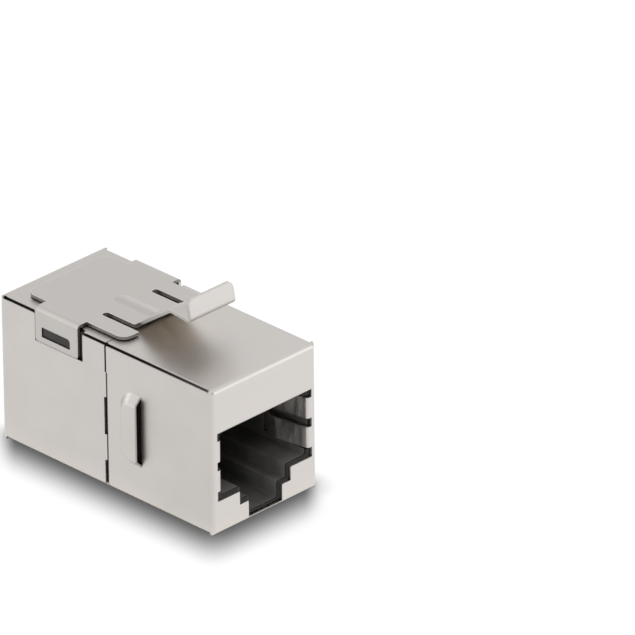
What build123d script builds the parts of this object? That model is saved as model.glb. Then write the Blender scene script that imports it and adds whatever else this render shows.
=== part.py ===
from build123d import *
import os

# Shielded in-line keystone coupler with one eight-way port at each end.
# X is the width, Y runs from the front port to the rear port, Z is up.
# The origin is the middle of the underside. All sizes are in millimetres.

# Body and sheet
body_width = 14.5
body_length = 30.2
body_height = 16.2
shell_sheet = 0.25
shell_bend = 0.5
corner_slit = 0.3
corner_start = 0.55
fit_clearance = 0.05

# Port opening in the metal and in the plastic behind it
port_side_wall = 0.65
port_floor = 3.67
port_height = 7.63
step_half_width = 3.56
step_depth = 1.5
latch_slot_half_width = 2.34
latch_slot_floor = 0.35
port_border = 0.35
port_corner = 0.25
port_lead_in = 0.14
cavity_side_wall = 1.3
cavity_back_wall = 1.65

# Shield springs folded in from the sides of the port opening
spring_gap_low = 1.1
spring_gap_middle = 0.98
spring_gap_high = 0.9
spring_face = 0.56
spring_reach = 0.7
spring_return = 0.45
spring_crest_depth = 4.0
spring_length = 5.6
spring_bend = 0.275
spring_crest_bend = 1.5

# Pressed-out stops on the sides of the front shell
stop_from_front = 10.12
stop_length = 2.87
stop_floor = 3.98
stop_tall = 7.97
stop_height = 0.87
stop_corner = 1.9
stop_edge = 0.35

# Joint between the two shells, with heights of the joggled tabs along it
joint_shift = 0.04
seam_gap = 0.12
side_gap = 0.25
tab_low = 2.93
tab_tall = 2.9
tab_pitch = 7.1
tab_reach = 1.6
tab_corner = 0.4
joggle_start = 0.3
joggle_bend = 0.3

# Latch clip
clip_sheet = 0.35
clip_gap = 0.13
plate_half_width = 5.95
plate_rear_half_width = 5.62
shoulder_from_front = 13.68
plate_from_rear = 2.11
plate_front_corner = 1.15
plate_rear_corner = 1.25
arm_half_width = 3.08
slot_width = 0.76
slot_end_from_front = 19.1
arm_bend_from_front = 15.07
seat_rear_from_front = 10.03
seat_front_from_front = 7.14
seat_rise = 3.85
seat_drop = 0.28
lip_top_from_front = 7.6
lip_rise = 5.9
lip_corner = 0.85
lip_bend = 0.36
arm_bend = 0.7
rib_height = 0.17
rib_radius = 2.2
rib_on_plate = 4.9
rib_on_arm = 3.4

# Side tabs of the latch clip and the nubs that hold them
hook_from_rear = 5.13
hook_length = 6.08
hook_drop = 3.28
hook_corner = 0.3
hook_bend = 0.35
hook_gap_front = 0.68
hook_gap = 0.04
window_from_front_edge = 1.14
window_from_rear_edge = 0.92
window_above_edge = 0.65
window_tall = 1.1
window_corner = 0.35
nub_clearance = 0.08
nub_depth = 0.12

# Circuit board across the middle and the plastic rim around it
board_thickness = 1.6
rim_wall = 0.5
rim_edge = 0.3
rim_gap = 0.04
board_corner = 0.5
peg_radius = 0.6
peg_length = 0.7
peg_offset = 5.5
peg_height = 2.2

# Contacts and the block that carries them
contact_count = 8
contact_pitch = 1.02
contact_width = 0.36
contact_thickness = 0.3
contact_bend = 0.5
contact_clearance = 0.03
lower_row_rise = 1.6
row_pitch = 0.8
contact_front = 2.6
contact_nose = 2.3
contact_tip_drop = 3.2
contact_tip_gap = 0.95
contact_tail = 0.1
block_half_width = 4.85
block_roof = 0.45
block_front = 3.4
comb_length = 1.7
comb_slot_depth = 1.2
comb_drop = 3.85
comb_lip = 0.3
comb_slot_width = 0.56

front_face = -body_length / 2
half_width = body_width / 2
port_half_width = half_width - port_side_wall
port_top = port_floor + port_height
step_floor = port_floor - step_depth
cavity_half_width = half_width - cavity_side_wall
seam = -joint_shift
tab_bands = ((tab_low, tab_low + tab_tall), (tab_low + tab_pitch, tab_low + tab_pitch + tab_tall))
clip_floor = body_height + clip_gap
clip_middle = clip_floor + clip_sheet / 2
clip_top = clip_floor + clip_sheet
hook_floor = body_height - hook_drop
window_floor = hook_floor + window_above_edge
window_top = window_floor + window_tall
housing_half_width = half_width - shell_sheet - fit_clearance
housing_floor = shell_sheet
housing_top = body_height - shell_sheet - fit_clearance
housing_front = front_face + shell_sheet
housing_back = -board_thickness / 2
cavity_end = housing_back - cavity_back_wall
board_half_width = housing_half_width - rim_wall - fit_clearance
board_floor = housing_floor + rim_edge + fit_clearance
board_top = housing_top - rim_edge - fit_clearance
lower_row = port_top + lower_row_rise
upper_row = lower_row + row_pitch
block_top = upper_row + block_roof
comb_floor = port_top - comb_drop
comb_front = cavity_end - comb_length


def block(x0, x1, y0, y1, z0, z1):
    """A box given by its two limits on each axis."""
    centre = Pos((x0 + x1) / 2, (y0 + y1) / 2, (z0 + z1) / 2)
    return centre * Box(abs(x1 - x0), abs(y1 - y0), abs(z1 - z0))


def both_sides(shape):
    """The shape and its mirror image across the middle plane."""
    return shape + mirror(shape, about=Plane.YZ)


def turned(shape):
    """The shape carried from the front port to the rear port."""
    return Rot(0, 0, 180) * shape


def one_solid(shape):
    """The single solid of a shape, with its seams merged."""
    return shape.clean().solids().sort_by(SortBy.VOLUME)[-1]


def upright_panel(half, z0, z1):
    """A rectangle in the XZ plane, centred on the middle plane."""
    return Pos(0, (z0 + z1) / 2) * Rectangle(2 * half, z1 - z0)


def port_outline(inset, half, corner):
    """The stepped port opening as a sketch, shrunk by inset."""
    floor = port_floor + inset
    step = step_floor + inset
    outline = upright_panel(half, floor, port_top - inset)
    outline += upright_panel(step_half_width - inset, step, floor + inset + corner)
    outline += upright_panel(latch_slot_half_width - inset, latch_slot_floor + inset, floor)
    if corner:
        outline = fillet(outline.vertices(), corner)
    return outline


def port_hole(outline, start, end):
    """The port opening as a solid that runs along Y."""
    return extrude(Plane.XZ.offset(-start) * outline, amount=start - end)


def spring_bands():
    """Lower and upper limits of the two springs on a side of the port."""
    height = (port_height - spring_gap_low - spring_gap_middle - spring_gap_high) / 2
    low = port_floor + spring_gap_low
    high = low + height + spring_gap_middle
    return ((low, low + height), (high, high + height))


def port_spring(low, high):
    """One shield spring, folded in from the port plate and bowed to the plug."""
    middle = front_face + shell_sheet / 2
    foot = port_half_width - spring_face + shell_sheet / 2
    path = FilletPolyline(
        (port_half_width + shell_sheet, middle),
        (foot, middle),
        (foot - spring_reach, middle + spring_crest_depth),
        (foot - spring_reach + spring_return, middle + spring_length),
        radius=[spring_bend, spring_crest_bend],
    )
    strip = trace(path, line_width=shell_sheet)
    return Pos(0, 0, low) * extrude(strip, amount=high - low)


def folded_half(end):
    """A port plate with four flaps folded back as far as end."""
    outer = block(-half_width, half_width, front_face, end, 0, body_height)
    outer = fillet(outer.faces().sort_by(Axis.Y)[0].edges(), shell_bend)
    inner_half = half_width - shell_sheet
    inner_top = body_height - shell_sheet
    inner = block(-inner_half, inner_half, housing_front, end + 1, shell_sheet, inner_top)
    inner = fillet(inner.faces().sort_by(Axis.Y)[0].edges(), shell_bend - shell_sheet)
    half = outer - inner
    for z0 in (0, body_height - corner_slit):
        slit = block(
            half_width - corner_slit, half_width, front_face + corner_start, end, z0, z0 + corner_slit
        )
        half -= both_sides(slit)
    half -= port_hole(port_outline(0, port_half_width, 0), front_face - 1, front_face + shell_bend)
    for low, high in spring_bands():
        half += both_sides(port_spring(low, high))
    return half


def stop_form(shrink, drop, below, edge):
    """The pressed-out form of a side stop, cut square at its front edge."""
    cut = front_face + stop_from_front
    height = stop_height - drop
    middle = stop_floor + stop_tall / 2
    wall = Plane(origin=(half_width, cut, middle), x_dir=(0, 1, 0), z_dir=(1, 0, 0))
    long = 2 * (stop_length - shrink)
    tall = stop_tall - 2 * shrink
    corner = stop_corner - shrink
    base = wall.offset(-below) * RectangleRounded(long + 2 * below, tall + 2 * below, corner + below)
    crown = wall.offset(height) * RectangleRounded(long - 2 * height, tall - 2 * height, corner - height)
    form = loft([base.face(), crown.face()])
    form = fillet(form.faces().sort_by(Axis.X)[-1].edges(), edge)
    front = block(0, 2 * half_width, cut - 2 * stop_length, cut, 0, body_height)
    return form - front


def front_shell():
    """Front shell: one folded sheet with two pressed-out panel stops."""
    shell = folded_half(seam - seam_gap / 2)
    shell += both_sides(stop_form(0, 0, 0, stop_edge))
    shell -= both_sides(stop_form(shell_sheet, shell_sheet, shell_sheet + 0.05, stop_edge / 2))
    strip = block(half_width - shell_sheet - 0.01, half_width + 1, -side_gap, 1, 0, tab_bands[1][1])
    return one_solid(shell - mirror(strip, about=Plane.YZ))


def joggled_tab(low, high):
    """A tab on the rear shell that steps in and runs under the front shell."""
    outer = half_width - shell_sheet / 2
    inner = outer - shell_sheet - fit_clearance
    tip = seam - tab_reach
    path = FilletPolyline(
        (outer, joggle_start + 2 * shell_sheet),
        (outer, joggle_start),
        (inner, seam - seam_gap / 2),
        (inner, tip),
        radius=joggle_bend,
    )
    tab = Pos(0, 0, low) * extrude(trace(path, line_width=shell_sheet), amount=high - low)
    return fillet(tab.edges().filter_by(Axis.X).group_by(Axis.Y)[0], tab_corner)


def rear_shell():
    """Rear shell: one folded sheet with joggled tabs and notches for the clip."""
    shell = turned(folded_half(-seam - seam_gap / 2))
    inner = half_width - shell_sheet - 0.01
    strip = block(inner, half_width + 1, seam - 1, side_gap, 0, tab_bands[1][1])
    shell -= mirror(strip, about=Plane.YZ)
    for low, high in tab_bands:
        recess = block(inner, half_width + 1, seam - 1, joggle_start, low, high)
        shell -= both_sides(recess)
        shell += both_sides(joggled_tab(low, high))
    rear_face = -front_face
    notch_rear = rear_face - hook_from_rear + hook_gap
    notch_front = rear_face - hook_from_rear - hook_length - hook_gap_front
    flap_edge = half_width - clip_sheet - hook_bend
    notch = block(flap_edge, half_width + 1, notch_front, notch_rear, hook_floor - hook_gap, clip_top)
    shell -= both_sides(notch)
    return one_solid(shell)


def clip_plate():
    """Flat base of the clip, with a slot each side of the arm."""
    front = front_face + shoulder_from_front
    rear = -front_face - plate_from_rear
    step = -front_face - hook_from_rear
    plate = block(-plate_half_width, plate_half_width, front, step, clip_floor, clip_top)
    plate += block(-plate_rear_half_width, plate_rear_half_width, step, rear, clip_floor, clip_top)
    uprights = plate.edges().filter_by(Axis.Z).group_by(Axis.Y)
    plate = fillet(uprights[-1], plate_rear_corner)
    uprights = plate.edges().filter_by(Axis.Z).group_by(Axis.Y)
    plate = fillet(uprights[0], plate_front_corner)
    slot_outer = arm_half_width + slot_width
    slot_end = front_face + slot_end_from_front
    centre = arm_half_width + slot_width / 2
    bend = front_face + arm_bend_from_front
    plate -= block(-slot_outer, slot_outer, front - 1, bend, body_height, clip_top + 1)
    slot = block(arm_half_width, slot_outer, front, slot_end - slot_width / 2, body_height, clip_top + 1)
    slot += Pos(centre, slot_end - slot_width / 2, clip_middle) * Cylinder(slot_width / 2, 2 * clip_sheet)
    return plate - both_sides(slot)


def clip_arm():
    """Spring arm: slope, panel seat and upturned lip in one strip."""
    seat = body_height + seat_rise
    top = body_height + lip_rise
    path = FilletPolyline(
        (front_face + slot_end_from_front, clip_middle),
        (front_face + arm_bend_from_front, clip_middle),
        (front_face + seat_rear_from_front, seat),
        (front_face + seat_front_from_front, seat - seat_drop),
        (front_face + lip_top_from_front, top),
        radius=[arm_bend, arm_bend, lip_bend],
    )
    strip = Plane.YZ * trace(path, line_width=clip_sheet)
    arm = extrude(strip, amount=arm_half_width, both=True)
    span = body_height + lip_rise
    outline = Plane.XZ * Pos(0, top + clip_sheet / 4 - span / 2) * RectangleRounded(
        2 * arm_half_width, span, lip_corner
    )
    return arm & extrude(outline, amount=body_length, both=True)


def rib_rod(length, drop):
    """A round-nosed rod along local X whose crown is a rib height up."""
    middle = rib_height - rib_radius - drop
    rod = Pos(length / 2, 0, middle) * Rot(0, 90, 0) * Cylinder(rib_radius, length)
    return rod + Pos(length, 0, middle) * Sphere(rib_radius)


def rib_cover(length):
    """Box that reaches from the middle of the sheet to above a rib."""
    long = 2 * (length + rib_radius)
    return Pos(0, 0, rib_radius - clip_sheet / 2) * Box(long, 2 * arm_half_width, 2 * rib_radius)


def rib_planes():
    """Top planes of the plate and of the arm, from the bend between them."""
    bend = front_face + arm_bend_from_front
    rise = body_height + seat_rise - clip_middle
    run = arm_bend_from_front - seat_rear_from_front
    slope = Vector(0, -run, rise).normalized()
    up = Vector(0, rise, run).normalized()
    on_plate = Plane(origin=(0, bend, clip_top), x_dir=(0, 1, 0), z_dir=(0, 0, 1))
    on_arm = Plane(origin=(0, bend, clip_top), x_dir=tuple(slope), z_dir=tuple(up))
    return ((on_plate, rib_on_plate), (on_arm, rib_on_arm))


def clip_hook():
    """Side tab of the clip, folded down from the plate, with its window."""
    outer = half_width - clip_sheet / 2
    path = FilletPolyline(
        (plate_half_width - hook_bend, clip_middle),
        (outer, clip_middle),
        (outer, hook_floor),
        radius=hook_bend,
    )
    strip = Plane.XZ * trace(path, line_width=clip_sheet)
    rear = -front_face - hook_from_rear
    hook = Pos(0, rear, 0) * extrude(strip, amount=hook_length)
    bottom = hook.edges().filter_by(Axis.X).group_by(Axis.Z)[0]
    hook = fillet(bottom, hook_corner)
    front_edge = rear - hook_length + window_from_front_edge
    window = block(0, half_width + 1, front_edge, rear - window_from_rear_edge, window_floor, window_top)
    corner = window.edges().filter_by(Axis.X).group_by(Axis.Z)[-1].sort_by(Axis.Y)[0]
    return hook - fillet(corner, window_corner)


def latch_clip():
    """Latch clip: one folded spring sheet with plate, arm and side tabs."""
    clip = clip_plate() + clip_arm() + both_sides(clip_hook())
    for plane, length in rib_planes():
        clip += plane * (rib_rod(length, 0) & rib_cover(length))
    for plane, length in rib_planes():
        below = Pos(0, 0, -rib_radius) * rib_cover(length)
        clip -= plane * (rib_rod(length, clip_sheet) & below)
    return one_solid(clip)


def port_lead():
    """Bevelled lead-in round the plastic port."""
    wide = port_outline(port_border - port_lead_in, cavity_half_width + port_lead_in, port_corner)
    tight = port_outline(port_border, cavity_half_width, port_corner)
    front = Plane.XZ.offset(-housing_front) * wide
    back = Plane.XZ.offset(-housing_front - port_lead_in) * tight
    return loft([front.face(), back.face()], ruled=True)


def spring_pocket():
    """Room in the plastic beside the port for the shield springs."""
    bands = spring_bands()
    room = fit_clearance + shell_sheet / 2
    outer = port_half_width - spring_face + shell_sheet + room
    depth = housing_front + spring_length + shell_sheet + room
    low = bands[0][0] - room
    high = bands[1][1] + room
    return block(cavity_half_width - shell_sheet, outer, housing_front - 1, depth, low, high)


def contact_pocket():
    """Room over the port for the contact block and the contact hairpins."""
    half = block_half_width + fit_clearance
    front = housing_front + contact_nose - contact_bend
    floor = port_top - port_border - contact_thickness
    return block(-half, half, front, housing_back + 1, floor, block_top + fit_clearance)


def board_rim():
    """Frame of the housing that reaches round half the board."""
    half = board_half_width + fit_clearance
    low = board_floor - fit_clearance
    high = board_top + fit_clearance
    end = -rim_gap / 2
    rim = block(-housing_half_width, housing_half_width, housing_back, end, housing_floor, housing_top)
    return rim - block(-half, half, housing_back, end, low, high)


def tab_relief(start):
    """Room in a housing for the joggled tabs of the shell."""
    inner = half_width - 2 * shell_sheet - 2 * fit_clearance
    relief = Part()
    for low, high in tab_bands:
        relief += block(inner, half_width, start, 0, low - 2 * fit_clearance, high + 2 * fit_clearance)
    return both_sides(relief)


def plain_housing():
    """Plastic body of one port, open to the port and to the board."""
    body = block(
        -housing_half_width, housing_half_width, housing_front, housing_back, housing_floor, housing_top
    )
    body = chamfer(body.faces().sort_by(Axis.Y)[0].edges(), shell_bend - shell_sheet + fit_clearance)
    outline = port_outline(port_border, cavity_half_width, port_corner)
    body -= port_hole(outline, housing_front - 1, cavity_end)
    body -= port_lead()
    body -= both_sides(spring_pocket())
    body -= contact_pocket()
    body += board_rim()
    peg = Pos(peg_offset, housing_back + peg_length / 2, peg_height) * Rot(90, 0, 0)
    body += both_sides(peg * Cylinder(peg_radius, peg_length))
    return body


def front_housing():
    """Front plastic body, relieved for the joggled shell tabs."""
    return one_solid(plain_housing() - tab_relief(seam - tab_reach - 4 * fit_clearance))


def rear_housing():
    """Rear plastic body, with pockets and nubs for the side tabs of the clip."""
    body = plain_housing() - tab_relief(housing_back)
    start = front_face + hook_from_rear
    inner = half_width - clip_sheet - fit_clearance
    pocket_end = start + hook_length + hook_gap_front
    low = hook_floor - hook_gap
    body -= both_sides(block(inner, half_width, start - hook_gap, pocket_end, low, body_height))
    nub = block(
        inner - clip_sheet,
        half_width - nub_depth,
        start + window_from_rear_edge + nub_clearance,
        start + hook_length - window_from_front_edge - nub_clearance,
        window_floor + nub_clearance,
        window_top - nub_clearance,
    )
    corner = nub.edges().filter_by(Axis.X).group_by(Axis.Z)[-1].sort_by(Axis.Y)[-1]
    body += both_sides(fillet(corner, window_corner))
    return one_solid(turned(body))


def contact_x(index):
    """Position of a contact across the width."""
    return (index - (contact_count + 1) / 2) * contact_pitch


def contact_row(index):
    """Height of the straight run of a contact: odd high, even low."""
    return upper_row if index % 2 else lower_row


def contact_strip(index, spare):
    """One contact as an upright strip, grown on every side by spare."""
    back = board_thickness / 2 - contact_tail
    path = FilletPolyline(
        (back, contact_row(index)),
        (front_face + contact_front, contact_row(index)),
        (front_face + contact_nose, port_top),
        (cavity_end - contact_tip_gap, port_top - contact_tip_drop),
        radius=contact_bend,
    )
    strip = Plane.YZ * trace(path, line_width=contact_thickness + 2 * spare)
    bar = extrude(strip, amount=contact_width / 2 + spare, both=True)
    return Pos(contact_x(index), 0, 0) * bar


def contact(index):
    """One contact, bent from flat strip."""
    return contact_strip(index, 0).solid()


def contact_block():
    """Plastic block that carries eight contacts, with a comb for their tips."""
    front = front_face + block_front
    floor = port_top + fit_clearance
    carrier = block(-block_half_width, block_half_width, front, housing_back, floor, block_top)
    carrier += block(-block_half_width, block_half_width, comb_front, cavity_end, comb_floor, floor)
    for index in range(1, contact_count + 1):
        carrier -= contact_strip(index, contact_clearance)
        x = contact_x(index)
        carrier -= block(
            x - comb_slot_width / 2,
            x + comb_slot_width / 2,
            comb_front - 1,
            comb_front + comb_slot_depth,
            comb_floor + comb_lip,
            floor - comb_lip,
        )
    return one_solid(carrier)


def circuit_board():
    """Board across the middle, with a hole for every contact tail and peg."""
    half = board_thickness / 2
    board = block(-board_half_width, board_half_width, -half, half, board_floor, board_top)
    board = fillet(board.edges().filter_by(Axis.Y), board_corner)
    for index in range(1, contact_count + 1):
        for row in (upper_row, lower_row):
            hole = Pos(contact_x(index), 0, row) * Box(contact_width, board_thickness, contact_thickness)
            board -= hole
    peg_hole = Pos(peg_offset, 0, peg_height) * Rot(90, 0, 0)
    board -= both_sides(peg_hole * Cylinder(peg_radius + fit_clearance, board_thickness + 1))
    return one_solid(board)


def all_pieces():
    """Every piece by name."""
    pieces = {
        "front_shell": front_shell(),
        "rear_shell": rear_shell(),
        "latch_clip": latch_clip(),
        "front_housing": front_housing(),
        "rear_housing": rear_housing(),
        "circuit_board": circuit_board(),
    }
    carrier = contact_block()
    pieces["front_contact_block"] = carrier
    pieces["rear_contact_block"] = turned(carrier)
    for index in range(1, contact_count + 1):
        bar = contact(index)
        pieces[f"front_contact_{index}"] = bar
        pieces[f"rear_contact_{index}"] = turned(bar)
    return pieces


os.makedirs("parts", exist_ok=True)
for name, shape in all_pieces().items():
    export_step(shape, f"parts/{name}.step")
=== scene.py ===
import math

import bpy
from mathutils import Matrix, Vector


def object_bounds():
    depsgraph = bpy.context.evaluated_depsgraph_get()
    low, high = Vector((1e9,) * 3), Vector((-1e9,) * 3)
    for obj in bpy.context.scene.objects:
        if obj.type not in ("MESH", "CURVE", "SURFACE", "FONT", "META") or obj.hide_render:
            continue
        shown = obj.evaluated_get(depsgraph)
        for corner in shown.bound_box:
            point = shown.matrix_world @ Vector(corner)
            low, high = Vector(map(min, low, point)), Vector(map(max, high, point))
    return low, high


# Looks for a shielded in-line keystone coupler. All lengths are in metres.

MM = 0.001

# Camera, as a long lens far off
CAMERA_AZIMUTH = -45.031
CAMERA_ELEVATION = 27.678
CAMERA_ROLL = 0.546
CAMERA_DISTANCE = 1.060
CAMERA_AIM = Vector((16.015, -6.636, 12.660)) * MM
CAMERA_CLIP = (0.05, 20.0)
IMAGE_SIDE = 635
IMAGE_SCALE = 9.9686 / MM
SENSOR = 36.0

# Places in the frame
SEAM = -0.04 * MM
SHELL_SIDE = 7.0 * MM
BODY_SIDE = 7.25 * MM
BODY_END = 15.1 * MM
BODY_TOP = 16.2 * MM
PLATE_MIDDLE = BODY_TOP + 0.5 * MM
SLIT_FLOOR = 15.9 * MM
SLIT_WALL = 6.95 * MM
HOUSING_SIDE = 6.4 * MM
PORT_LIP = 14.52 * MM
PORT_LEAD = 14.64 * MM

# Thickness of the sheets
SHELL_SHEET = 0.25 * MM
CLIP_SHEET = 0.35 * MM

# Surroundings
WORLD_LEVEL = 0.80
FLOOR_SIZE = 3.0
FLOOR_COLOUR = (0.86, 0.86, 0.86)
FLOOR_SHOWN = (0.16, 0.16, 0.16)
FLOOR_LIFT = 0.88
BLACK = (0.0, 0.0, 0.0)
WHITE = (1.0, 1.0, 1.0)

# Floor shade, a fitted patch on two sides of the body and a close one all round
SHADOW_DEPTH = 0.13
SHADOW_ROUNDING = 4.0 * MM
SHADOW_NEAR = (-0.6 * MM, 5.6 * MM)
SHADOW_FAR = (0.0, 2.0 * MM)
SHADOW_CORNER = (BODY_SIDE + BODY_END - 2.0 * MM, BODY_SIDE + BODY_END + 1.7 * MM)
CONTACT_REACH = 2.5 * MM
CONTACT_SPAN = (0.5, 1.0)
CONTACT_SAMPLES = 24
CONTACT_LEAST = 0.3

# Lamps: name, place, size and power. All point at LAMP_AIM.
LAMP_AIM = (0, 0, 0.01)
LAMPS = (
    ("overhead", (-0.10, 0.05, 0.60), 0.50, 0.25),
    ("front_right", (0.50, -0.50, 0.20), 0.50, 0.5),
    ("back_left", (-0.50, 0.50, 0.16), 0.30, 0.15),
    ("back", (-0.15, 0.70, 0.30), 0.25, 0.2),
    ("front_left", (-0.50, -0.50, 0.06), 0.15, 0.3),
)

# Colours, linear
SHEET_COLOUR = (0.612, 0.582, 0.557)
# Painted light: shell faces turned along the body are lighter than its sides
END_PAINTED_LIGHT = (0.692, 0.658, 0.630)
SPRING_COLOUR = (0.550, 0.529, 0.506)
# Painted light: clip faces turned along the body, such as the lip, are lighter
LIP_PAINTED_LIGHT = (0.690, 0.660, 0.636)
# Painted shade on cut edges
CUT_EDGE_PAINTED_SHADE = (0.12, 0.115, 0.105)
# Painted shade along the edge of the clip's plate
PLATE_EDGE_PAINTED_SHADE = (0.29, 0.28, 0.265)
# Painted light on cut edges that face up inside the side walls
CUT_EDGE_LIT = (0.62, 0.60, 0.57)
# Painted highlight on sharp corners
CORNER_PAINTED_HIGHLIGHT = (0.80, 0.78, 0.75)
# Painted shade in tight gaps, at the seam of the shells and in the corner slits
CREASE_PAINTED_SHADE = (0.012, 0.010, 0.008)
PLASTIC_COLOUR = (0.024, 0.021, 0.019)
# Painted light: plastic within the housing's side walls is lighter
PLASTIC_PORT_PAINTED_LIGHT = (0.125, 0.123, 0.118)
# Painted shade on the port's lead-in, behind the metal front
PLASTIC_LEAD_PAINTED_SHADE = (0.006, 0.005, 0.004)
# Painted shade in tight gaps on the plastic
PLASTIC_CREASE_PAINTED_SHADE = (0.003, 0.003, 0.003)
BLOCK_COLOUR = (0.02, 0.02, 0.021)
GOLD_COLOUR = (0.78, 0.56, 0.24)
BOARD_COLOUR = (0.012, 0.09, 0.035)

# Shares of a colour
# Painted shade: upward faces a little darker, the shell's top darker still towards the rear
TOP_PAINTED_SHADE = 0.955
REAR_PAINTED_SHADE = 0.92
# Painted light and shade: the clip's rib slopes darker on one side, lighter on the other
RIB_PAINTED_LIGHT_SHARES = (0.88, 1.12)
CLOUD_SHARES = (0.985, 1.015)
# Painted reflection: a lighter warm tint put into hollows
WARM_REFLECTION_SHARES = (1.32, 1.27, 1.17)
WARM_REFLECTION_AMOUNT = 0.5
PLASTIC_LIGHTER = (1.5, 1.5, 1.5)
# Painted highlight on the plastic's corners
PLASTIC_PAINTED_HIGHLIGHT = (2.2, 2.2, 2.2)
# Painted highlight: a light band at the port's lip
LIP_PAINTED_HIGHLIGHT = 1.5
# Painted shade deeper in the port
DEEP_PAINTED_SHADE = 0.3
GOLD_DARK_SHARE = 0.85
WEAVE_LIGHT_SHARE = 1.35

# Spans of a face normal that a tint fades over
END_FACING = (0.7, 1.0)
TOP_FACING = (0.8, 1.0)
RIB_FACING = (-0.2, 0.2)
LIT_FACING = (0.7, 0.95)
UPRIGHT_FACING = (0.2, 0.3)
ENDWAYS_FACING = (0.6, 0.9)
CORNER_FACING = (0.90, 0.995)

# Spans of a place that a tint fades over
REAR_SPAN = (-5.0 * MM, 12.0 * MM)
INNER_SPAN = (-4.0 * MM, -2.0 * MM)
INSIDE_WALL = (6.7 * MM, 6.9 * MM)
STREAK_REACH = (9.0 * MM, 14.0 * MM)
PLATE_SPAN = (0.46 * MM, 0.50 * MM)
TAB_SPAN = (BODY_SIDE - 0.05 * MM, BODY_SIDE)
SEAM_SPAN = (0.08 * MM, 0.14 * MM)
SHELL_SIDE_SPAN = (SHELL_SIDE - 0.1 * MM, SHELL_SIDE)
SLIT_BELOW = (SLIT_FLOOR - 0.04 * MM, SLIT_FLOOR - 0.02 * MM)
SLIT_ABOVE = (SLIT_FLOOR + 0.14 * MM, SLIT_FLOOR + 0.20 * MM)
SLIT_WITHIN = (SLIT_WALL - 0.04 * MM, SLIT_WALL - 0.02 * MM)
SLIT_BEYOND = (SLIT_WALL + 0.15 * MM, SLIT_WALL + 0.22 * MM)
SLIT_FADE = (-14.5 * MM, -5.0 * MM)
HOUSING_SPAN = (HOUSING_SIDE, HOUSING_SIDE + 0.3 * MM)
PORT_DEPTH_SPAN = (8.0 * MM, 14.4 * MM)
LIP_SPAN = (PORT_LIP - 0.08 * MM, PORT_LIP)
LEAD_SPAN = (PORT_LEAD - 0.05 * MM, PORT_LEAD)

# Scales and spans of the fine textures
CLOUD_SCALE = 260.0
SPECK_SCALE = 9000.0
PLASTIC_CLOUD_SCALE = 350.0
BOARD_CLOUD_SCALE = 500.0
WEAVE_SCALE = 2500.0
SHELL_GRAIN = (120, 5200, 5200)
CLIP_GRAIN = (5200, 160, 5200)
STREAK_GRAIN = (900, 1500, 350)
GOLD_GRAIN = (9000, 400, 400)
CLOUD_SPAN = (0.35, 0.65)
NOISE_SPAN = (0.3, 0.7)
STREAK_SPAN = (0.42, 0.60)
SHELL_CREASE = (0.35, 0.60)
CLIP_CREASE = (0.30, 0.75)
PLASTIC_CREASE_SPAN = (0.35, 0.80)
RECESS_SPAN = (0.25, 0.75)
CUT_EDGE_SPAN = (0.35, 0.65)

# Reach of the masks that look for gaps, corners and cut edges
CREASE_REACH = 0.45 * MM
PLASTIC_CREASE_REACH = 0.40 * MM
RECESS_REACH = 5.0 * MM
CORNER_RADIUS = 0.06 * MM
CORNER_SAMPLES = 6
MASK_SAMPLES = 8
CUT_EDGE_SHARE = 0.8

# Results that a value is moved to
UNIT = (0.0, 1.0)
STREAK_RESULT = (0.1, 1.0)
STREAK_FADE = (0.15, 1.0)
SLIT_RESULT = (0.7, 0.0)
SCUFFED_METALLIC = (1.0, 0.65)
SHEET_ROUGHNESS = (0.35, 0.42)
GOLD_ROUGHNESS = (0.18, 0.30)
BOARD_ROUGHNESS = (0.25, 0.38)
PLASTIC_SPREAD = 0.05
PLASTIC_SPECULAR = 0.35


def new_material(name):
    """An empty material with its node tree and output node."""
    material = bpy.data.materials.new(name)
    material.use_nodes = True
    tree = material.node_tree
    tree.nodes.clear()
    return material, tree, tree.nodes.new("ShaderNodeOutputMaterial")


def object_coordinates(tree):
    """Place of a point in the object's own frame."""
    return tree.nodes.new("ShaderNodeTexCoord").outputs["Object"]


def face_normal(tree):
    """Normal of the surface."""
    return tree.nodes.new("ShaderNodeNewGeometry").outputs["Normal"]


def rounded_normal(tree):
    """Normal of the surface with its sharp corners softened."""
    node = tree.nodes.new("ShaderNodeBevel")
    node.samples = CORNER_SAMPLES
    node.inputs["Radius"].default_value = CORNER_RADIUS
    return node.outputs["Normal"]


def noise(tree, vector, scale, detail, roughness=0.5):
    """A noise texture on the given coordinates."""
    texture = tree.nodes.new("ShaderNodeTexNoise")
    texture.inputs["Scale"].default_value = scale
    texture.inputs["Detail"].default_value = detail
    texture.inputs["Roughness"].default_value = roughness
    tree.links.new(vector, texture.inputs["Vector"])
    return texture.outputs["Fac"]


def stretched(tree, vector, stretch):
    """The coordinates, scaled unevenly to draw a grain out."""
    mapping = tree.nodes.new("ShaderNodeMapping")
    mapping.inputs["Scale"].default_value = stretch
    tree.links.new(vector, mapping.inputs["Vector"])
    return mapping.outputs["Vector"]


def remap(tree, value, span, result, curve="LINEAR"):
    """A value moved from one range to another and clamped."""
    node = tree.nodes.new("ShaderNodeMapRange")
    node.interpolation_type = curve
    node.inputs["From Min"].default_value = span[0]
    node.inputs["From Max"].default_value = span[1]
    node.inputs["To Min"].default_value = result[0]
    node.inputs["To Max"].default_value = result[1]
    tree.links.new(value, node.inputs["Value"])
    return node.outputs["Result"]


def rising(tree, value, span):
    """Zero below the span and one above it."""
    return remap(tree, value, span, UNIT)


def falling(tree, value, span, curve="LINEAR"):
    """One below the span and zero above it."""
    return remap(tree, value, span, (1.0, 0.0), curve)


def tinted(colour, share):
    """A colour with every channel times one share."""
    return tuple(channel * share for channel in colour)


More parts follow.
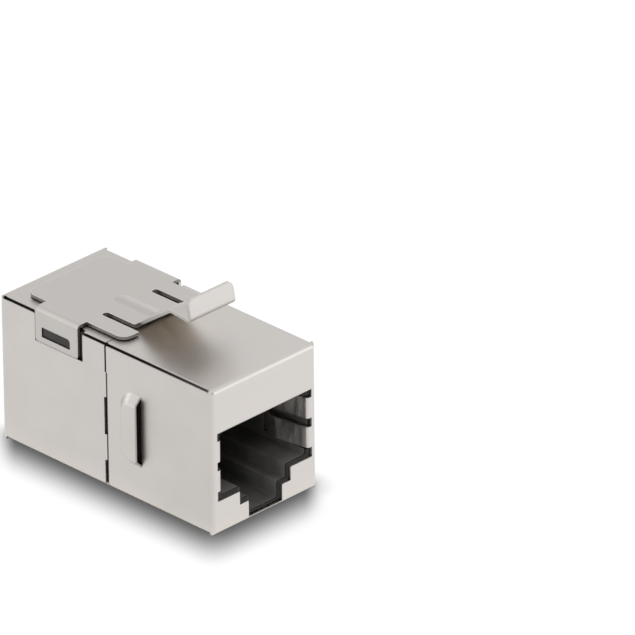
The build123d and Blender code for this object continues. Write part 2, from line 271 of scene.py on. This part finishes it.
def blend_colour(tree, factor, first, second, mode="MIX"):
    """Two colours mixed by a factor. A colour may be a socket or a value."""
    node = tree.nodes.new("ShaderNodeMix")
    node.data_type = "RGBA"
    node.blend_type = mode
    for socket, colour in ((node.inputs[6], first), (node.inputs[7], second)):
        if isinstance(colour, bpy.types.NodeSocket):
            tree.links.new(colour, socket)
        else:
            socket.default_value = (*colour, 1.0)
    if isinstance(factor, bpy.types.NodeSocket):
        tree.links.new(factor, node.inputs[0])
    else:
        node.inputs[0].default_value = factor
    return node.outputs[2]


def bump(tree, height, strength, distance, normal=None):
    """A bump from a height, on top of an earlier normal."""
    node = tree.nodes.new("ShaderNodeBump")
    node.inputs["Strength"].default_value = strength
    node.inputs["Distance"].default_value = distance
    tree.links.new(height, node.inputs["Height"])
    if normal is not None:
        tree.links.new(normal, node.inputs["Normal"])
    return node.outputs["Normal"]


def math_node(tree, operation, first, second=None):
    """A sum on one or two values, each a socket or a number."""
    node = tree.nodes.new("ShaderNodeMath")
    node.operation = operation
    for socket, value in zip(node.inputs, (first, second)):
        if isinstance(value, bpy.types.NodeSocket):
            tree.links.new(value, socket)
        elif value is not None:
            socket.default_value = value
    return node.outputs[0]


def larger(tree, first, second):
    """The larger of two values."""
    return math_node(tree, "MAXIMUM", first, second)


def product(tree, first, second):
    """Two values multiplied."""
    return math_node(tree, "MULTIPLY", first, second)


def difference(tree, first, second):
    """The first value less the second."""
    return math_node(tree, "SUBTRACT", first, second)


def part_of(tree, vector, axis):
    """One part of a vector."""
    apart = tree.nodes.new("ShaderNodeSeparateXYZ")
    tree.links.new(vector, apart.inputs["Vector"])
    return apart.outputs[axis]


def distance_from(tree, vector, axis, place=0.0):
    """Size of one part of a vector, counted from a place on that axis."""
    offset = difference(tree, part_of(tree, vector, axis), place)
    return math_node(tree, "ABSOLUTE", offset)


def crease_mask(tree, reach, span, samples=MASK_SAMPLES):
    """One in the open and zero in tight gaps."""
    occlusion = tree.nodes.new("ShaderNodeAmbientOcclusion")
    occlusion.inputs["Distance"].default_value = reach
    occlusion.samples = samples
    return rising(tree, occlusion.outputs["AO"], span)


def cut_edge_mask(tree, thickness):
    """One on the thin cut edges of a sheet and zero on its faces."""
    occlusion = tree.nodes.new("ShaderNodeAmbientOcclusion")
    occlusion.inside = True
    occlusion.only_local = True
    occlusion.inputs["Distance"].default_value = thickness * CUT_EDGE_SHARE
    occlusion.samples = MASK_SAMPLES
    return falling(tree, occlusion.outputs["AO"], CUT_EDGE_SPAN)


def corner_mask(tree, rounded):
    """One on sharp outer and inner corners and zero on flat faces."""
    node = tree.nodes.new("ShaderNodeVectorMath")
    node.operation = "DOT_PRODUCT"
    tree.links.new(rounded, node.inputs[0])
    tree.links.new(face_normal(tree), node.inputs[1])
    return falling(tree, node.outputs["Value"], CORNER_FACING)


def principled(tree, output, base, roughness, normal):
    """The surface shader, joined to the output."""
    shader = tree.nodes.new("ShaderNodeBsdfPrincipled")
    tree.links.new(base, shader.inputs["Base Color"])
    tree.links.new(roughness, shader.inputs["Roughness"])
    tree.links.new(normal, shader.inputs["Normal"])
    tree.links.new(shader.outputs["BSDF"], output.inputs["Surface"])
    return shader


def sheet_tint(tree, coordinates, normal, colour, end_painted_light, seam):
    """Colour of a sheet: faint clouds, painted light on its ends, painted light and shade on its
    top and a painted warm reflection in hollows.
    """
    cloud = rising(tree, noise(tree, coordinates, CLOUD_SCALE, 3.0), CLOUD_SPAN)
    clouds = [tinted(colour, share) for share in CLOUD_SHARES]
    base = blend_colour(tree, cloud, *clouds)
    # Painted light: faces turned along the body take the lighter colour
    ends = rising(tree, distance_from(tree, normal, "Y"), END_FACING)
    base = blend_colour(tree, ends, base, end_painted_light)
    # Painted shade on the shell's top towards the rear, painted light and shade on the clip's rib
    # slopes
    if seam:
        shift = rising(tree, part_of(tree, coordinates, "Y"), REAR_SPAN)
        shares = (TOP_PAINTED_SHADE, TOP_PAINTED_SHADE * REAR_PAINTED_SHADE)
    else:
        shift = rising(tree, part_of(tree, normal, "X"), RIB_FACING)
        shares = [TOP_PAINTED_SHADE * share for share in RIB_PAINTED_LIGHT_SHARES]
    tops = rising(tree, part_of(tree, normal, "Z"), TOP_FACING)
    painted_top_shading = blend_colour(tree, shift, *[tinted(colour, share) for share in shares])
    base = blend_colour(tree, tops, base, painted_top_shading)
    # Painted warm reflection, blended in where the sheet is enclosed
    warm = tuple(channel * share for channel, share in zip(colour, WARM_REFLECTION_SHARES))
    warmed = blend_colour(tree, WARM_REFLECTION_AMOUNT, base, warm)
    return blend_colour(tree, crease_mask(tree, RECESS_REACH, RECESS_SPAN), warmed, base)


def scuffed_metallic(tree, coordinates, normal):
    """Metallic, lowered in streaks on the faces that look in towards the port."""
    turned_in = product(tree, part_of(tree, coordinates, "X"), part_of(tree, normal, "X"))
    inner = falling(tree, turned_in, INNER_SPAN)
    streaks = noise(tree, stretched(tree, coordinates, STREAK_GRAIN), 1.0, 3.0, 0.6)
    streaks = remap(tree, streaks, STREAK_SPAN, STREAK_RESULT)
    near_port = remap(tree, distance_from(tree, coordinates, "Y"), STREAK_REACH, STREAK_FADE)
    scuffs = product(tree, inner, product(tree, streaks, near_port))
    return remap(tree, scuffs, UNIT, SCUFFED_METALLIC)


def clip_edges(tree, coordinates, normal, base):
    """Painted shade on cut edges of the clip: a band round its plate and dark ends on its side
    tabs.
    """
    upright = falling(tree, distance_from(tree, normal, "Z"), UPRIGHT_FACING)
    on_plate = distance_from(tree, coordinates, "Z", PLATE_MIDDLE)
    on_plate = falling(tree, on_plate, PLATE_SPAN)
    on_tab = rising(tree, distance_from(tree, coordinates, "X"), TAB_SPAN)
    off_tab = difference(tree, 1.0, on_tab)
    plate_edge = product(tree, upright, product(tree, on_plate, off_tab))
    base = blend_colour(tree, plate_edge, base, PLATE_EDGE_PAINTED_SHADE)
    endways = rising(tree, distance_from(tree, normal, "Y"), ENDWAYS_FACING)
    tab_edge = product(tree, endways, on_tab)
    return blend_colour(tree, tab_edge, base, CUT_EDGE_PAINTED_SHADE)


def seam_and_slits(tree, coordinates, base):
    """Painted shade: a dark line at the seam of the shells and on the walls of the open corner
    slits.
    """
    side = distance_from(tree, coordinates, "X")
    # Painted shade along the seam on the side walls
    off_seam = rising(tree, distance_from(tree, coordinates, "Y", SEAM), SEAM_SPAN)
    off_side = falling(tree, side, SHELL_SIDE_SPAN)
    base = blend_colour(tree, larger(tree, off_seam, off_side), CREASE_PAINTED_SHADE, base)
    # Painted shade on the corner slit walls, fading out towards the front
    height = part_of(tree, coordinates, "Z")
    below = falling(tree, height, SLIT_BELOW)
    above = rising(tree, height, SLIT_ABOVE)
    within = falling(tree, side, SLIT_WITHIN)
    beyond = rising(tree, side, SLIT_BEYOND)
    fading = remap(tree, part_of(tree, coordinates, "Y"), SLIT_FADE, SLIT_RESULT)
    off_slit = larger(tree, larger(tree, below, within), larger(tree, beyond, fading))
    off_slit = larger(tree, off_slit, above)
    return blend_colour(tree, off_slit, CREASE_PAINTED_SHADE, base)


def sheet_metal(name, colour, end_painted_light, grain_stretch, thickness, crease, seam):
    """Satin plated sheet: rolled grain, painted highlights on corners, painted light and shade on
    cut edges and painted shade in creases.
    """
    material, tree, output = new_material(name)
    coordinates = object_coordinates(tree)
    normal = face_normal(tree)
    rounded = rounded_normal(tree)
    base = sheet_tint(tree, coordinates, normal, colour, end_painted_light, seam)

    # Painted light on cut edges facing up inside the side walls, painted shade on the rest
    deep_in = falling(tree, distance_from(tree, coordinates, "X"), INSIDE_WALL)
    lit = product(tree, rising(tree, part_of(tree, normal, "Z"), LIT_FACING), deep_in)
    cut = blend_colour(tree, lit, CUT_EDGE_PAINTED_SHADE, CUT_EDGE_LIT)
    base = blend_colour(tree, cut_edge_mask(tree, thickness), base, cut)
    if not seam:
        base = clip_edges(tree, coordinates, normal, base)
    # Painted highlight on sharp corners
    base = blend_colour(tree, corner_mask(tree, rounded), base, CORNER_PAINTED_HIGHLIGHT)
    if seam:
        base = seam_and_slits(tree, coordinates, base)
    # Painted shade in tight gaps, except on faces turned up inside the side walls
    open_air = larger(tree, crease_mask(tree, CREASE_REACH, crease), lit)
    base = blend_colour(tree, open_air, CREASE_PAINTED_SHADE, base)

    grain = noise(tree, stretched(tree, coordinates, grain_stretch), 1.0, 3.0, 0.6)
    speck = noise(tree, coordinates, SPECK_SCALE, 2.0)
    relief = bump(tree, grain, 0.08, 0.003 * MM, rounded)
    relief = bump(tree, speck, 0.05, 0.003 * MM, relief)
    roughness = remap(tree, grain, NOISE_SPAN, SHEET_ROUGHNESS)
    shader = principled(tree, output, base, roughness, relief)
    metallic = scuffed_metallic(tree, coordinates, normal)
    tree.links.new(metallic, shader.inputs["Metallic"])
    return material


def moulded_plastic(name, colour, recess, roughness, texture_scale):
    """Moulded plastic: fine spark-eroded texture, painted light in the port, painted highlights on
    corners and at the port's lip, painted shade in the lead-in and in tight gaps.
    """
    material, tree, output = new_material(name)
    coordinates = object_coordinates(tree)
    along = distance_from(tree, coordinates, "Y")
    # Painted light within the side walls, lighter near the port mouths, painted shade deeper in
    outside = rising(tree, distance_from(tree, coordinates, "X"), HOUSING_SPAN)
    deep = rising(tree, along, PORT_DEPTH_SPAN)
    inside = blend_colour(tree, deep, tinted(recess, DEEP_PAINTED_SHADE), recess)
    plain = blend_colour(tree, outside, inside, colour)

    broad = rising(tree, noise(tree, coordinates, PLASTIC_CLOUD_SCALE, 3.0), CLOUD_SPAN)
    lighter = blend_colour(tree, 1.0, plain, PLASTIC_LIGHTER, "MULTIPLY")
    base = blend_colour(tree, broad, plain, lighter)
    # Painted highlight on sharp corners
    rounded = rounded_normal(tree)
    painted_corner_light = blend_colour(tree, 1.0, plain, PLASTIC_PAINTED_HIGHLIGHT, "MULTIPLY")
    base = blend_colour(tree, corner_mask(tree, rounded), base, painted_corner_light)
    # Painted highlight: a light band at the port's lip
    lip = rising(tree, along, LIP_SPAN)
    base = blend_colour(tree, lip, base, tinted(recess, LIP_PAINTED_HIGHLIGHT))
    # Painted shade on the port's lead-in
    base = blend_colour(tree, rising(tree, along, LEAD_SPAN), base, PLASTIC_LEAD_PAINTED_SHADE)
    # Painted shade in tight gaps
    open_air = crease_mask(tree, PLASTIC_CREASE_REACH, PLASTIC_CREASE_SPAN)
    base = blend_colour(tree, open_air, PLASTIC_CREASE_PAINTED_SHADE, base)

    fine = noise(tree, coordinates, texture_scale, 3.0, 0.6)
    around = (roughness - PLASTIC_SPREAD, roughness + PLASTIC_SPREAD)
    spread = remap(tree, fine, NOISE_SPAN, around)
    relief = bump(tree, fine, 0.2, 0.006 * MM, rounded)
    shader = principled(tree, output, base, spread, relief)
    shader.inputs["Specular IOR Level"].default_value = PLASTIC_SPECULAR
    return material


def gold_plating(name, colour):
    """Bright gold over nickel, with fine draw lines."""
    material, tree, output = new_material(name)
    coordinates = object_coordinates(tree)
    lines = noise(tree, stretched(tree, coordinates, GOLD_GRAIN), 1.0, 2.0)
    base = blend_colour(tree, lines, tinted(colour, GOLD_DARK_SHARE), colour)
    roughness = remap(tree, lines, NOISE_SPAN, GOLD_ROUGHNESS)
    relief = bump(tree, lines, 0.1, 0.002 * MM)
    shader = principled(tree, output, base, roughness, relief)
    shader.inputs["Metallic"].default_value = 1.0
    return material


def laminate(name, colour):
    """Green solder mask over a faint glass weave."""
    material, tree, output = new_material(name)
    coordinates = object_coordinates(tree)
    texture = tree.nodes.new("ShaderNodeTexChecker")
    texture.inputs["Scale"].default_value = WEAVE_SCALE
    tree.links.new(coordinates, texture.inputs["Vector"])
    weave = texture.outputs["Fac"]
    base = blend_colour(tree, weave, colour, tinted(colour, WEAVE_LIGHT_SHARE))
    broad = noise(tree, coordinates, BOARD_CLOUD_SCALE, 3.0)
    roughness = remap(tree, broad, NOISE_SPAN, BOARD_ROUGHNESS)
    relief = bump(tree, weave, 0.05, 0.005 * MM)
    principled(tree, output, base, roughness, relief)
    return material


def dress(nodes):
    """Gives every CAD node its material."""
    shell = sheet_metal(
        "satin_plated_sheet", SHEET_COLOUR, END_PAINTED_LIGHT, SHELL_GRAIN, SHELL_SHEET, SHELL_CREASE, True
    )
    clip = sheet_metal(
        "satin_spring_sheet", SPRING_COLOUR, LIP_PAINTED_LIGHT, CLIP_GRAIN, CLIP_SHEET, CLIP_CREASE, False
    )
    plastic = moulded_plastic("black_moulding", PLASTIC_COLOUR, PLASTIC_PORT_PAINTED_LIGHT, 0.42, 5200.0)
    block = moulded_plastic("block_moulding", BLOCK_COLOUR, BLOCK_COLOUR, 0.40, 4200.0)
    gold = gold_plating("gold_plating", GOLD_COLOUR)
    board = laminate("green_laminate", BOARD_COLOUR)
    for name, node in nodes.items():
        if name.endswith("shell"):
            material = shell
        elif name == "latch_clip":
            material = clip
        elif name.endswith("housing"):
            material = plastic
        elif name.endswith("contact_block"):
            material = block
        elif name == "circuit_board":
            material = board
        else:
            material = gold
        node.data.materials.clear()
        node.data.materials.append(material)


def shown_background(tree):
    """One for rays that should see the plain white surroundings."""
    path = tree.nodes.new("ShaderNodeLightPath").outputs
    direct = larger(tree, path["Is Camera Ray"], path["Is Glossy Ray"])
    return larger(tree, direct, path["Is Transmission Ray"])


def white_world():
    """Even soft light, seen as white."""
    world = bpy.data.worlds.new("studio")
    bpy.context.scene.world = world
    world.use_nodes = True
    tree = world.node_tree
    background = tree.nodes["Background"]
    background.inputs["Color"].default_value = (*WHITE, 1.0)
    level = remap(tree, shown_background(tree), UNIT, (WORLD_LEVEL, 1.0))
    tree.links.new(level, background.inputs["Strength"])


def contact_shade(tree):
    """One in the open, falling towards zero on the floor close to the body."""
    coordinates = object_coordinates(tree)
    x = part_of(tree, coordinates, "X")
    y = part_of(tree, coordinates, "Y")
    near = tree.nodes.new("ShaderNodeMath")
    near.operation = "SMOOTH_MAX"
    near.inputs[2].default_value = SHADOW_ROUNDING
    tree.links.new(difference(tree, -BODY_SIDE, x), near.inputs[0])
    tree.links.new(difference(tree, -BODY_END, y), near.inputs[1])
    far = larger(tree, difference(tree, x, BODY_SIDE), difference(tree, y, BODY_END))
    sideways = math_node(tree, "ABSOLUTE", difference(tree, x, y))
    shaded = 1.0
    for distance, span in (
        (near.outputs[0], SHADOW_NEAR),
        (far, SHADOW_FAR),
        (sideways, SHADOW_CORNER),
    ):
        shaded = product(tree, falling(tree, distance, span, "SMOOTHSTEP"), shaded)
    fitted = difference(tree, 1.0, shaded)
    close = crease_mask(tree, CONTACT_REACH, CONTACT_SPAN, CONTACT_SAMPLES)
    close = remap(tree, close, UNIT, (CONTACT_LEAST, 1.0))
    return math_node(tree, "MINIMUM", fitted, close)


def white_floor(height):
    """Pale floor that shows a close soft shade and renders white in the open."""
    bpy.ops.mesh.primitive_plane_add(size=FLOOR_SIZE, location=(0, 0, height))
    floor = bpy.context.object
    floor.name = "floor"
    material, tree, output = new_material("floor")
    direct = remap(tree, contact_shade(tree), UNIT, (SHADOW_DEPTH, 1.0))
    camera_ray = tree.nodes.new("ShaderNodeLightPath").outputs["Is Camera Ray"]
    shade = larger(tree, direct, difference(tree, 1.0, camera_ray))
    seen = shown_background(tree)
    pale = blend_colour(tree, seen, FLOOR_COLOUR, FLOOR_SHOWN)
    diffuse = tree.nodes.new("ShaderNodeBsdfDiffuse")
    tree.links.new(blend_colour(tree, shade, BLACK, pale), diffuse.inputs["Color"])
    lift = tree.nodes.new("ShaderNodeEmission")
    tree.links.new(blend_colour(tree, shade, BLACK, WHITE), lift.inputs["Color"])
    strength = remap(tree, seen, UNIT, (0.0, FLOOR_LIFT))
    tree.links.new(strength, lift.inputs["Strength"])
    both = tree.nodes.new("ShaderNodeAddShader")
    tree.links.new(diffuse.outputs["BSDF"], both.inputs[0])
    tree.links.new(lift.outputs["Emission"], both.inputs[1])
    tree.links.new(both.outputs["Shader"], output.inputs["Surface"])
    floor.data.materials.append(material)


def studio_lamps():
    """Square soft boxes: one overhead and four low ones round the object."""
    for name, place, size, power in LAMPS:
        data = bpy.data.lights.new(name, "AREA")
        data.shape = "SQUARE"
        data.size = size
        data.energy = power
        lamp = bpy.data.objects.new(name, data)
        bpy.context.scene.collection.objects.link(lamp)
        lamp.location = place
        lamp.rotation_mode = "QUATERNION"
        lamp.rotation_quaternion = (Vector(LAMP_AIM) - Vector(place)).to_track_quat("-Z", "Y")


def photo_camera():
    """Camera at the photograph's viewing angle and framing."""
    azimuth = math.radians(CAMERA_AZIMUTH)
    elevation = math.radians(CAMERA_ELEVATION)
    level = math.cos(elevation)
    back = Vector((math.sin(azimuth) * level, -math.cos(azimuth) * level, math.sin(elevation)))
    data = bpy.data.cameras.new("camera")
    data.sensor_width = SENSOR
    data.lens = IMAGE_SCALE * CAMERA_DISTANCE * SENSOR / IMAGE_SIDE
    data.clip_start, data.clip_end = CAMERA_CLIP
    camera = bpy.data.objects.new("camera", data)
    bpy.context.scene.collection.objects.link(camera)
    turn = (-back).to_track_quat("-Z", "Y").to_matrix().to_4x4()
    roll = Matrix.Rotation(math.radians(-CAMERA_ROLL), 4, "Z")
    place = Matrix.Translation(CAMERA_AIM + back * CAMERA_DISTANCE)
    camera.matrix_world = place @ turn @ roll
    bpy.context.scene.camera = camera


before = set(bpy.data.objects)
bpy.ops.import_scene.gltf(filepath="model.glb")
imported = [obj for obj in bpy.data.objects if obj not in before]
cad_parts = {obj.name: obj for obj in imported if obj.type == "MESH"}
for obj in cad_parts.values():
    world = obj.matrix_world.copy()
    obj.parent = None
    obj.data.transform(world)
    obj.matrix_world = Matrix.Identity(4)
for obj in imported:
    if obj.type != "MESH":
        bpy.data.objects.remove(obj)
cad_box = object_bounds()
bpy.context.scene.view_settings.view_transform = "Standard"
dress(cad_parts)
white_world()
white_floor(cad_box[0].z)
studio_lamps()
photo_camera()
